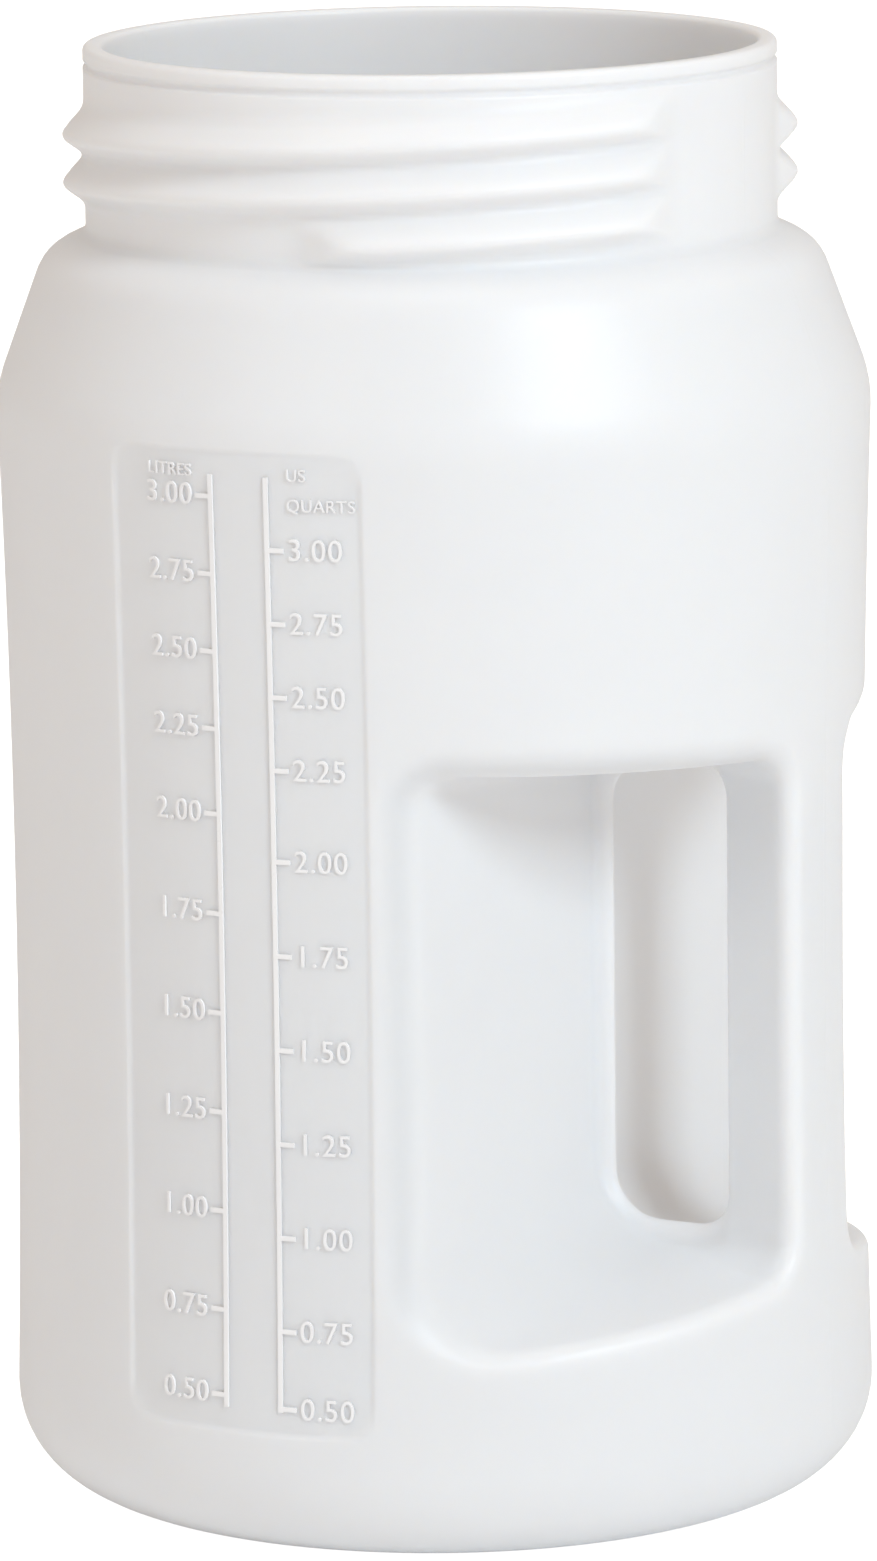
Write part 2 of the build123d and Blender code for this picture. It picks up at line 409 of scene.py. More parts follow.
def round_join(first: Array, second: Array, radius: float) -> Array:
    """Two shapes joined, with a fillet of a radius where they meet."""
    return -round_meet(-first, -second, radius)


def half_plane(across: Array, up: Array, point: Pair, slope: Pair) -> Array:
    """Distance to a half plane.

    Args:
        across: First coordinate.
        up: Second coordinate.
        point: A point on its edge.
        slope: The direction that points out of it, of any length.

    Returns:
        Distance, negative inside.
    """
    length = math.hypot(*slope)
    return ((across - point[0]) * slope[0] + (up - point[1]) * slope[1]) / length


def rounded_plate(across: Array, up: Array, half: Pair, corner: float) -> Array:
    """Distance to a flat plate with rounded corners.

    Args:
        across: Distance from the plate's middle, sideways.
        up: Distance from its middle, upwards.
        half: Half its width and half its height.
        corner: Radius of its corners.

    Returns:
        Distance, negative inside.
    """
    side = np.abs(across) - half[0] + corner
    end = np.abs(up) - half[1] + corner
    outside = np.hypot(np.maximum(side, 0), np.maximum(end, 0))
    return outside + np.minimum(np.maximum(side, end), 0) - corner


@dataclass(frozen=True)
class BodyProfile:
    """The turned outline of the container, in millimetres.

    From the foot up: a standing ring round a pushed-up middle, a rounded foot, a wall that is drawn
    in at its waist, a shoulder that bends at the knee, and the neck. A blend is a bend's radius, and
    neck_sunk is how far above the wall's top the neck's cylinder starts, inside the shoulder.
    """

    foot_radius: float = 77.8
    foot_round: float = 18.0
    ring_width: float = 6.0
    push_up: float = 4.0
    waist_radius: float = 76.1
    body_radius: float = 77.3
    body_height: float = 199.5
    body_blend: float = 28.0
    knee_radius: float = 68.8
    knee_height: float = 222.6
    knee_blend: float = 9.0
    neck_radius: float = 61.3
    neck_bottom: float = 226.0
    neck_height: float = 33.0
    neck_blend: float = 1.2
    neck_sunk: float = 6.0
    mouth_radius: float = 57.8
    wall: float = 1.8

    @property
    def top(self) -> float:
        """Height of the mouth."""
        return self.neck_bottom + self.neck_height

    def wall_arc(self) -> Triple:
        """Circle of the drawn-in wall.

        Returns:
            How far out its centre is, the centre's height and its radius.
        """
        half_height = (self.body_height - self.foot_round) / 2
        middle = (self.body_height + self.foot_round) / 2
        lean = (self.body_radius - self.foot_radius) / (2 * half_height)
        depth = (self.foot_radius + self.body_radius) / 2 - self.waist_radius
        radius = (half_height**2 + depth**2) / (2 * depth)
        return self.waist_radius + radius, middle + lean * radius, radius

    @staticmethod
    def blend_width(radius: float, turn: float) -> float:
        """Width of the blend that rounds a bend of an angle to about a radius."""
        return 4 * radius * (1 - math.cos(turn / 2))

    def distance(self, radius: Array, z: Array, inset: float, throat: float) -> Array:
        """Distance to the solid of revolution.

        Args:
            radius: Distance from the axis.
            z: Height.
            inset: How far the outline is moved inwards below the neck.
            throat: Radius of the neck.

        Returns:
            Distance, negative inside. The neck has no top end.
        """
        out, middle, arc = self.wall_arc()
        wall = arc - np.hypot(radius - out, z - middle)
        ring_inner = self.foot_radius - self.foot_round - self.ring_width
        dome = self.push_up * np.clip(1 - (radius / ring_inner) ** 2, 0, None)
        form = round_meet(wall, dome - z, self.foot_round)
        cone = (self.knee_height - self.body_height, self.body_radius - self.knee_radius)
        cap = (self.neck_bottom - self.knee_height, self.knee_radius - self.neck_radius)
        shoulder = half_plane(radius, z, (self.body_radius, self.body_height), cone)
        slope = half_plane(radius, z, (self.knee_radius, self.knee_height), cap)
        turn = math.atan2(cone[1], cone[0])
        form = soft_meet(form, shoulder, self.blend_width(self.body_blend, turn))
        turn = math.atan2(cap[1], cap[0]) - turn
        form = soft_meet(form, slope, self.blend_width(self.knee_blend, turn)) + inset
        neck = np.maximum(radius - throat, self.body_height + self.neck_sunk - z)
        return round_join(form, neck, self.neck_blend)


@dataclass(frozen=True)
class GripPocket:
    """The pinched grip: a pocket from each side and a finger hole, in millimetres.

    near_wall, floor, roof and bar_nose are a pocket's four sides where they meet the web between the
    two pockets. A draft is a side's slope, a corner the radius between two sides, and a rim the
    rounding of the pocket's outer edge along a side; rim_change is the length over which one rim
    changes into the next. web_rim is what stays of the web round the hole.
    """

    near_wall: float = 31.8
    wall_draft: float = 0.03
    floor: float = 46.5
    floor_draft: float = 0.13
    roof: float = 136.5
    roof_draft: float = 0.05
    bar_nose: float = 57.6
    bar_flare: float = 1.8
    nose_round: float = 4.0
    floor_corner: float = 15.0
    roof_corner: float = 6.0
    web_half: float = 1.0
    web_round: float = 2.5
    web_rim: float = 3.0
    hole_corner: float = 9.0
    hole_edge: float = 0.8
    side_rim: float = 6.0
    floor_rim: float = 2.6
    roof_rim: float = 6.5
    bar_rim: float = 3.5
    rim_change: float = 6.0

    def bar(self, x: Array, y: Array) -> Array:
        """Distance to the hand bar: a wedge with a round nose, pointing to the axis."""
        norm = math.hypot(1, self.bar_flare)
        along, aside = x - self.bar_nose - self.nose_round, np.abs(y)
        beside = (aside * self.bar_flare - along) / norm
        ahead = (along * self.bar_flare + aside) / norm
        return np.where(ahead < 0, np.hypot(along, aside), beside) - self.nose_round

    def sides(self, x: Array, y: Array, z: Array) -> tuple[Array, Array, Array, Array]:
        """Distances to the pocket's inner wall, floor, roof and bar, negative in the pocket."""
        depth = np.abs(y) - self.web_half
        near = (self.near_wall - self.wall_draft * depth - x) / math.hypot(1, self.wall_draft)
        floor = (self.floor - self.floor_draft * depth - z) / math.hypot(1, self.floor_draft)
        roof = (z - self.roof - self.roof_draft * depth) / math.hypot(1, self.roof_draft)
        return near, floor, roof, -self.bar(x, y)

    @staticmethod
    def framed(near: Array, floor: Array, roof: Array, bar: Array, corners: Triple) -> Array:
        """Room inside four sides.

        Args:
            near: Distance to the side next to the axis.
            floor: Distance to the floor.
            roof: Distance to the roof.
            bar: Distance to the bar's side.
            corners: Radii at the floor, at the roof and along the bar.

        Returns:
            Distance, negative in the room.
        """
        low = np.maximum(round_meet(near, floor, corners[0]), round_meet(bar, floor, corners[2]))
        high = np.maximum(round_meet(near, roof, corners[1]), round_meet(bar, roof, corners[2]))
        return np.maximum(low, high)

    def room(self, x: Array, y: Array, z: Array) -> Array:
        """The two pockets as if no web stood between them."""
        corners = (self.floor_corner, self.roof_corner, self.roof_corner)
        return self.framed(*self.sides(x, y, z), corners)

    def cut(self, x: Array, y: Array, z: Array) -> Array:
        """The pockets and the hole that the moulding leaves free."""
        pocket = round_meet(self.room(x, y, z), self.web_half - np.abs(y), self.web_round)
        hole = self.framed(
            self.near_wall + self.web_rim - x,
            self.floor + self.web_rim - z,
            z - self.roof + self.web_rim,
            -self.bar(x, y),
            (self.hole_corner, self.hole_corner, self.roof_corner),
        )
        return -round_meet(-pocket, -hole, self.hole_edge)

    def rim(self, x: Array, y: Array, z: Array) -> Array:
        """Radius of the pocket's outer rim, which differs from side to side."""
        sides = np.stack(self.sides(x, y, z))
        weight = np.exp((sides - sides.max(axis=0)) / self.rim_change)
        radii = np.array([self.side_rim, self.floor_rim, self.roof_rim, self.bar_rim])
        return np.tensordot(radii, weight, 1) / weight.sum(axis=0)


@dataclass(frozen=True)
class NeckThread:
    """The coarse two-start thread and the groove under the lip, in millimetres and degrees.

    A start begins at the angle first, above_root over the neck's foot, and runs on for the angle
    sweep. The angle gap stays free on each side of the mould's parting plane, and end_slope is the
    length over which a ridge fades out there.
    """

    rise: float = 3.9
    crest: float = 1.2
    upper_flank: float = 4.2
    lower_flank: float = 2.8
    lead: float = 17.0
    starts: int = 2
    sweep: float = 424.0
    first: float = -84.0
    above_root: float = 3.4
    gap: float = 20.0
    end_slope: float = 9.0
    crest_round: float = 0.7
    root_round: float = 0.9
    lip_height: float = 2.6
    groove_height: float = 1.2
    groove_depth: float = 0.6
    groove_round: float = 0.25

    def ridges(self) -> list[Triple]:
        """The unbroken ridges.

        Returns:
            Each ridge's first and last angle, and the angle where its start begins.
        """
        found = []
        for start in range(self.starts):
            first = self.first + start * 360 / self.starts
            last = first + self.sweep
            for half_turn in range(math.floor(first / 180), math.ceil(last / 180)):
                low = max(first, 180 * half_turn + self.gap)
                high = min(last, 180 * (half_turn + 1) - self.gap)
                if high - low > self.gap:
                    found.append((low, high, first))
        return found

    def distance(self, profile: BodyProfile, angle: Array, radius: Array, z: Array) -> Array:
        """Distance to all the ridges.

        Args:
            profile: The outline of the body.
            angle: Angle round the axis in degrees.
            radius: Distance from the axis.
            z: Height.

        Returns:
            Distance, negative in a ridge.
        """
        out = radius - profile.neck_radius
        nearest = np.full(np.shape(out), NOWHERE_NEAR)
        for low, high, first in self.ridges():
            middle = (low + high) / 2
            turned = middle + (angle - middle + 180) % 360 - 180
            crest = profile.neck_bottom + self.above_root + (turned - first) / 360 * self.lead
            up = z - crest
            half = self.crest / 2
            upper = half_plane(up, out, (half, self.rise), (self.rise, self.upper_flank))
            lower = half_plane(-up, out, (half, self.rise), (self.rise, self.lower_flank))
            past = (np.abs(turned - middle) - (high - low) / 2) * math.radians(profile.neck_radius)
            end = half_plane(past, out, (0.0, 0.0), (self.rise, self.end_slope))
            ridge = round_meet(np.maximum(upper, lower), out - self.rise, self.crest_round)
            nearest = np.minimum(nearest, round_meet(ridge, end, self.crest_round))
        return nearest

    def groove(self, profile: BodyProfile, radius: Array, z: Array) -> Array:
        """Distance to the groove under the lip, negative in the groove."""
        middle = profile.top - self.lip_height - self.groove_height / 2
        band = np.abs(z - middle) - self.groove_height / 2
        return round_meet(profile.neck_radius - self.groove_depth - radius, band, self.groove_round)


@dataclass(frozen=True)
class SightPanel:
    """The shallow recess that carries the scale, in millimetres."""

    width: float = 47.6
    bottom: float = 24.0
    top: float = 196.0
    corner: float = 5.5
    depth: float = 0.5
    edge_round: float = 0.6

    def outline(self, x: Array, y: Array, z: Array) -> Array:
        """Distance to the panel's outline on the front of the body."""
        half = (self.width / 2, (self.top - self.bottom) / 2)
        plate = rounded_plate(x, z - (self.top + self.bottom) / 2, half, self.corner)
        return np.where(y < 0, plate, NOWHERE_NEAR)


# ---- meshing ----
@dataclass
class CylindricalNet:
    """Meshes the surface of a field on a grid of angles, heights and radii.

    Attributes:
        surface: The field, negative inside, in millimetres.
        angles: Grid angles in radians, once round.
        heights: Grid heights.
        radii: Grid radii.
        settle_steps: How often each point is moved onto the surface, by at most reach each time.
        nudge: Half the distance over which the field's slope is measured.
        least_steep: Smallest squared slope that a move is worked out with.
        points: The surface's points, one in each cell that it crosses.
        quads: Its faces, as point numbers.
        number: Each cell's point number, -1 where it has none.
    """

    surface: Field
    angles: Array
    heights: Array
    radii: Array
    settle_steps: int = 5
    reach: float = 1.5
    nudge: float = 0.02
    least_steep: float = 0.1
    points: Array = field(init=False)
    quads: Array = field(init=False)
    number: Array = field(init=False)

    def corners(self) -> tuple[Array, Array, Array]:
        """Grid points in x, y and z."""
        angle, z, radius = np.meshgrid(self.angles, self.heights, self.radii, indexing="ij")
        return radius * np.cos(angle), radius * np.sin(angle), z

    def build(self) -> "CylindricalNet":
        """Find the surface's points and faces.

        Returns:
            The net itself.
        """
        x, y, z = self.corners()
        value = self.surface(x, y, z)
        inside = value < 0
        shape = np.array(value.shape)
        cells = (shape[0], shape[1] - 1, shape[2] - 1)
        total = np.zeros((int(np.prod(cells)), 3))
        count = np.zeros(int(np.prod(cells)))
        quads = []
        place = np.stack([x, y, z], axis=-1)
        for axis in range(3):
            # Grid edges along this axis that the surface crosses, and where.
            crossed = inside != np.roll(inside, -1, axis=axis)
            if axis:
                crossed[tuple([slice(None)] * axis + [-1])] = False
            at = np.argwhere(crossed)
            step = np.zeros(3, int)
            step[axis] = 1
            to = (at + step) % shape
            here, there = value[tuple(at.T)], value[tuple(to.T)]
            share = (here / (here - there))[:, None]
            point = place[tuple(at.T)] * (1 - share) + place[tuple(to.T)] * share
            # The four cells round each such edge give a face and share its crossing point.
            second, third = np.roll(np.arange(3), -1 - axis)[:2]
            ring, valid = [], np.ones(len(at), bool)
            for back_second, back_third in ((1, 1), (0, 1), (0, 0), (1, 0)):
                cell = at.copy()
                cell[:, second] -= back_second
                cell[:, third] -= back_third
                cell[:, 0] %= shape[0]
                good = (cell[:, 1] >= 0) & (cell[:, 1] < cells[1])
                good &= (cell[:, 2] >= 0) & (cell[:, 2] < cells[2])
                index = np.ravel_multi_index(np.where(good[:, None], cell, 0).T, cells)
                np.add.at(total, index[good], point[good])
                np.add.at(count, index[good], 1)
                ring.append(index)
                valid &= good
            faces = np.stack(ring, axis=1)[valid]
            outward = inside[tuple(at.T)][valid]
            faces = np.where(outward[:, None], faces, faces[:, ::-1])
            quads.append(faces)
        used = count > 0
        number = np.full(len(count), -1)
        number[used] = np.arange(int(used.sum()))
        self.points = total[used] / count[used][:, None]
        self.quads = number[np.concatenate(quads)]
        self.number = number.reshape(cells)
        self.settle()
        return self

    def settle(self) -> None:
        """Move the points onto the surface along its slope."""
        for _ in range(self.settle_steps):
            level = self.surface(*self.points.T)
            slope = np.empty_like(self.points)
            for axis in range(3):
                offset = np.zeros(3)
                offset[axis] = self.nudge
                ahead = self.surface(*(self.points + offset).T)
                behind = self.surface(*(self.points - offset).T)
                slope[:, axis] = (ahead - behind) / (2 * self.nudge)
            steep = np.maximum((slope**2).sum(axis=1), self.least_steep)
            move = np.clip(level / steep, -self.reach, self.reach)
            self.points -= slope * move[:, None]

    def top_loop(self) -> Array:
        """Point numbers round the open top."""
        return self.number[:, -1, :].max(axis=1)

    def middle_loop(self) -> Array:
        """Point numbers round the open middle of the base."""
        return self.number[:, :, 0].max(axis=1)


def spread(*stretches: Triple) -> Array:
    """Grid values along stretches.

    Args:
        stretches: Each stretch's start, end and largest step. Each starts where the last one ended.

    Returns:
        All the values, in order.
    """
    values = [np.array([stretches[0][0]])]
    for low, high, step in stretches:
        count = max(1, math.ceil((high - low) / step - 1e-6))
        values.append(np.linspace(low, high, count + 1)[1:])
    return np.concatenate(values)


# ---- the container ----
@dataclass
class ContainerShell:
    """The one-piece moulding: outside, inside and lip as a single closed surface.

    The grid is finer round the grip, in the zones of the grip's floor and roof, and finest near the
    panel's edges: edge_step apart for cluster to each side, in millimetres up and in degrees round.
    Inside base_middle the base is closed with a fan of faces.
    """

    profile: BodyProfile = field(default_factory=BodyProfile)
    grip: GripPocket = field(default_factory=GripPocket)
    thread: NeckThread = field(default_factory=NeckThread)
    panel: SightPanel = field(default_factory=SightPanel)
    inner_rim: float = 2.2
    lip_round: float = 0.9
    lip_steps: int = 4
    grip_half_angle: float = 67.0
    angle_step: float = 1.15
    foot_top: float = 20.5
    floor_zone: Pair = (38.0, 60.0)
    roof_zone: Pair = (126.0, 150.0)
    cluster: float = 1.0
    edge_step: float = 0.33
    base_middle: float = 3.0
    base_reach: float = 27.0

    def outside(self, x: Array, y: Array, z: Array) -> Array:
        """Distance to the moulding's outer form, as if it were solid."""
        radius = np.hypot(x, y)
        form = self.profile.distance(radius, z, 0.0, self.profile.neck_radius)
        form = np.maximum(form, -self.thread.groove(self.profile, radius, z))
        ridge = self.thread.distance(self.profile, np.degrees(np.arctan2(y, x)), radius, z)
        form = round_join(form, ridge, self.thread.root_round)
        cut = self.grip.cut(x, y, z)
        form = round_meet(form, -cut, self.grip.rim(x, y, z))
        outline = self.panel.outline(x, y, z)
        floor = self.profile.distance(radius, z, self.panel.depth, self.profile.neck_radius)
        keep = round_join(floor, -outline, self.panel.edge_round)
        return round_meet(form, keep, self.panel.edge_round)

    def inside(self, x: Array, y: Array, z: Array) -> Array:
        """Distance to the room inside the moulding."""
        profile = self.profile
        form = profile.distance(np.hypot(x, y), z, profile.wall, profile.mouth_radius)
        return round_meet(form, profile.wall - self.grip.room(x, y, z), self.inner_rim)

    def angle_grid(self) -> Array:
        """Grid angles, close together round the grip and at the panel's edges.

        Returns:
            Angles in radians, once round.
        """
        reach, near = self.grip_half_angle, self.cluster
        edge = math.degrees(math.asin(self.panel.width / 2 / self.profile.body_radius))
        left, right = 270 - edge, 270 + edge
        turns = spread(
            (-reach, reach, self.angle_step),
            (reach, left - near, 2.7),
            (left - near, left + near, self.edge_step),
            (left + near, right - near, 2.6),
            (right - near, right + near, self.edge_step),
            (right + near, 360 - reach, 2.0),
        )
        return np.radians(turns[:-1])

    def outer_net(self) -> CylindricalNet:
        """Mesh of the outer form up to the lip."""
        profile, panel, near = self.profile, self.panel, self.cluster
        groove_top = profile.top - self.thread.lip_height
        groove_bottom = groove_top - self.thread.groove_height
        heights = spread(
            (-1.2, 1.0, 2.2),
            (1.0, self.foot_top, 2.4),
            (self.foot_top, panel.bottom - near, 1.3),
            (panel.bottom - near, panel.bottom + near, self.edge_step),
            (panel.bottom + near, self.floor_zone[0], 2.2),
            (*self.floor_zone, 1.4),
            (self.floor_zone[1], self.roof_zone[0], 2.2),
            (*self.roof_zone, 1.4),
            (self.roof_zone[1], panel.top - near, 3.2),
            (panel.top - near, panel.top + near, self.edge_step),
            (panel.top + near, profile.neck_bottom - 1.5, 2.0),
            (profile.neck_bottom - 1.5, groove_bottom - 0.2, 0.75),
            (groove_bottom - 0.2, groove_top + 0.2, 0.32),
            (groove_top + 0.2, profile.top - self.lip_round, 0.8),
        )
        radii = spread((self.base_middle, self.base_reach, 4.0), (self.base_reach, 82.0, 1.9))
        return CylindricalNet(self.outside, self.angle_grid(), heights, radii).build()

    def inner_net(self) -> CylindricalNet:
        """Mesh of the room inside up to the lip."""
        profile = self.profile
        heights = spread(
            (0.4, self.floor_zone[0], 2.4),
            (*self.floor_zone, 1.8),
            (self.floor_zone[1], self.roof_zone[0], 3.3),
            (*self.roof_zone, 1.8),
            (self.roof_zone[1], self.panel.top, 3.6),
            (self.panel.top, profile.neck_bottom, 2.2),
            (profile.neck_bottom, profile.top - self.lip_round, 3.0),
        )
        radii = spread((self.base_middle, self.base_reach, 4.0), (self.base_reach, 80.0, 2.0))
        return CylindricalNet(self.inside, self.angle_grid(), heights, radii).build()

    def lip_rings(self, angles: Array) -> list[Array]:
        """Rings of points over the lip, from the outside to the bore.

        Args:
            angles: Angle of each point in a ring, in radians.

        Returns:
            The rings.
        """
        low = self.profile.top - self.lip_round
        outer_middle = self.profile.neck_radius - self.lip_round
        inner_middle = self.profile.mouth_radius + self.lip_round
        quarter = np.linspace(0, math.pi / 2, self.lip_steps + 1)
        arcs = [(outer_middle, turn) for turn in quarter]
        arcs += [(inner_middle, math.pi - turn) for turn in quarter[::-1]]
        rings = []
        for middle, turn in arcs:
            radius = middle + self.lip_round * math.cos(turn)
            z = np.full_like(angles, low + self.lip_round * math.sin(turn))
            rings.append(np.stack([radius * np.cos(angles), radius * np.sin(angles), z], 1))
        return rings

    def build(self) -> bpy.types.Object:
        """Mesh the whole moulding.

        Returns:
            The object, in metres.
        """
        outer, inner = self.outer_net(), self.inner_net()
        points = [outer.points, inner.points]
        shift = len(outer.points)
        quads = [outer.quads, inner.quads[:, ::-1] + shift]
        outer_top = outer.top_loop()
        angles = np.arctan2(outer.points[outer_top, 1], outer.points[outer_top, 0])
        loops = [outer_top]
        count = shift + len(inner.points)
        for ring in self.lip_rings(angles):
            points.append(ring)
            loops.append(np.arange(count, count + len(ring)))
            count += len(ring)
        loops.append(inner.top_loop() + shift)
        for first, second in zip(loops, loops[1:]):
            quads.append(np.stack([first, np.roll(first, -1), np.roll(second, -1), second], 1))
        faces = [list(quad) for quad in np.concatenate(quads)]
        for net, offset, flip in ((outer, 0, True), (inner, shift, False)):
            loop = net.middle_loop() + offset
            height = net.points[net.middle_loop(), 2].mean()
            points.append(np.array([[0.0, 0.0, height]]))
            for here, there in zip(loop, np.roll(loop, -1)):
                faces.append([count, there, here] if flip else [count, here, there])
            count += 1
        mesh = bpy.data.meshes.new("container_shell")
        mesh.from_pydata((np.concatenate(points) * MM).tolist(), [], faces)
        mesh.shade_smooth()
        return put_in_scene("container_shell", mesh)

    def dress(self, shell: bpy.types.Object, plastic: bpy.types.Material) -> None:
        """Give the shell its finish and its place in the frame.

        Args:
            shell: The meshed moulding.
            plastic: Its material.
        """
        shell.data.materials.append(plastic)
        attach(shell, BODY)
        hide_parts(*[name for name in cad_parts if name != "volume_scale"])
        log.info("%s: %d faces", shell.name, len(shell.data.polygons))


class Column(Enum):
    """The two columns of the scale, each with the lines of its heading from the top down."""

    LITRES = ("LITRES",)
    QUARTS = ("US", "QUARTS")


@dataclass
class VolumeScale:
    """The raised scale on the sight panel: two long lines, ticks, numerals and unit headings.

    The geometry nodes draw the scale flat, across and up in millimetres, and then lay it round the
    panel's floor. Marks are round_step apart, and grip_step apart beside the grip, which takes room
    away from the inside. sink is how deep the pieces reach into the panel.
    """

    profile: BodyProfile = field(default_factory=BodyProfile)
    panel: SightPanel = field(default_factory=SightPanel)
    rise: float = 0.4
    sink: float = 0.25
    line_width: float = 0.8
    line_margin: float = 4.0
    line_points: int = 60
    tick_length: float = 2.6
    first_mark: float = 0.5
    last_mark: float = 3.0
    mark_step: float = 0.25
    first_mark_height: float = 30.1
    round_step: float = 13.5
    grip_step: float = 17.5
    grip_zone_low: float = 38.0
    grip_zone_high: float = 139.0
    quart: float = 0.946
    line_place: dict[Column, float] = field(
        default_factory=lambda: {Column.LITRES: -3.1, Column.QUARTS: 7.5}
    )
    numeral_gap: float = 0.7
    numeral_size: float = 5.4
    letter_spacing: float = 1.08
    weld: float = 0.001
    heading_height: float = 192.4
    heading_step: float = 5.2
    heading_share: float = 0.56

    def unit(self, column: Column) -> float:
        """Litres in one unit of a column."""
        return self.quart if column is Column.QUARTS else 1.0

    def height_wire(self, graph: NodeGraph, litres: Number) -> Wire:
        """Height of a volume's mark, worked out by nodes.

        Args:
            graph: The node graph.
            litres: The volume.

        Returns:
            The height in millimetres.
        """
        steps = (litres - self.first_mark) / self.mark_step
        low = (self.grip_zone_low - self.first_mark_height) / self.round_step
        high = low + (self.grip_zone_high - self.grip_zone_low) / self.grip_step
        below = graph.maths("MINIMUM", steps, low) * self.round_step
        beside = graph.clamp(steps - low, 0.0, high - low) * self.grip_step
        above = graph.maths("MAXIMUM", steps - high, 0.0) * self.round_step
        return self.first_mark_height + below + beside + above

    def slab(self, graph: NodeGraph, size: Pair, cuts: int, centre: Wire) -> Wire:
        """A raised flat strip.

        Args:
            graph: The node graph.
            size: Its width and height.
            cuts: Points along its height.
            centre: Where its middle is.

        Returns:
            The strip's geometry.
        """
        strip = graph.wire(
            "GeometryNodeMeshCube",
            "Mesh",
            {},
            {"Size": (*size, self.rise + self.sink), "Vertices Y": cuts},
        )
        return graph.wire("GeometryNodeTransform", 0, {}, {"Geometry": strip, "Translation": centre})

    def place_wire(self, graph: NodeGraph, across: Number, up: Number, out: Number) -> Wire:
        """A place on the flat scale."""
        return graph.wire("ShaderNodeCombineXYZ", 0, {}, {"X": across, "Y": up, "Z": out})

    def column_wires(self, graph: NodeGraph, column: Column, count: Wire, size: Wire) -> list[Wire]:
        """One column's line, ticks and numerals.

        Args:
            graph: The node graph.
            column: Which column.
            count: How many marks it has.
            size: Height of a line of numerals.

        Returns:
            The pieces of geometry.
        """
        side = 1 if column is Column.QUARTS else -1
        line = self.line_place[column]
        low, high = self.panel.bottom + self.line_margin, self.panel.top - self.line_margin
        middle_out = (self.rise - self.sink) / 2
        long_line = self.slab(
            graph,
            (self.line_width, high - low),
            self.line_points,
            self.place_wire(graph, line, (low + high) / 2, middle_out),
        )
        start = graph.node("GeometryNodeRepeatInput")
        end = graph.node("GeometryNodeRepeatOutput")
        start.pair_with_output(end)
        graph.link(count, start, "Iterations")
        reading = Wire(graph, start.outputs["Iteration"]) * self.mark_step + self.first_mark
        up = self.height_wire(graph, reading * self.unit(column))
        tick_middle = line + side * (self.line_width + self.tick_length) / 2
        tick = self.slab(
            graph,
            (self.tick_length, self.line_width),
            2,
            self.place_wire(graph, tick_middle, up, middle_out),
        )
        words = graph.wire("FunctionNodeValueToString", 0, {}, {"Value": reading, "Decimals": 2})
        beside = line + side * (self.line_width / 2 + self.tick_length + self.numeral_gap)
        spot = self.place_wire(graph, beside, up, -self.sink)
        label = self.raised_text(graph, words, size, spot, side)
        graph.link(graph.join([Wire(graph, start.outputs["Geometry"]), tick, label]), end, "Geometry")
        pieces = [long_line, Wire(graph, end.outputs["Geometry"])]
        for row, text in enumerate(column.value):
            head = graph.wire("FunctionNodeInputString", 0, {"string": text})
            head_up = self.heading_height - row * self.heading_step
            spot = self.place_wire(graph, beside, head_up, -self.sink)
            pieces.append(self.raised_text(graph, head, size * self.heading_share, spot, side))
        return pieces

    def raised_text(self, graph: NodeGraph, words: Wire, size: Wire, place: Wire, side: int) -> Wire:
        """Raised lettering.

        Args:
            graph: The node graph.
            words: The text.
            size: Its size.
            place: The back of its end that is next to the tick.
            side: 1 if the text runs away to the right of that place, -1 if to the left.

        Returns:
            The closed geometry of the letters.
        """
        curves = graph.wire(
            "GeometryNodeStringToCurves",
            0,
            {"align_x": "LEFT" if side > 0 else "RIGHT", "align_y": "MIDDLE"},
            {"String": words, "Size": size, "Character Spacing": self.letter_spacing},
        )
        curves = graph.wire("GeometryNodeRealizeInstances", 0, {}, {"Geometry": curves})
        back = graph.wire("GeometryNodeFillCurve", 0, {}, {"Curve": curves})
        face = graph.wire(
            "GeometryNodeExtrudeMesh",
            0,
            {},
            {"Mesh": back, "Offset Scale": self.rise + self.sink, "Individual": False},
        )
        under = graph.wire("GeometryNodeFlipFaces", 0, {}, {"Mesh": back})
        both = graph.join([face, under])
        merged = graph.wire(
            "GeometryNodeMergeByDistance", 0, {}, {"Geometry": both, "Distance": self.weld}
        )
        return graph.wire("GeometryNodeTransform", 0, {}, {"Geometry": merged, "Translation": place})

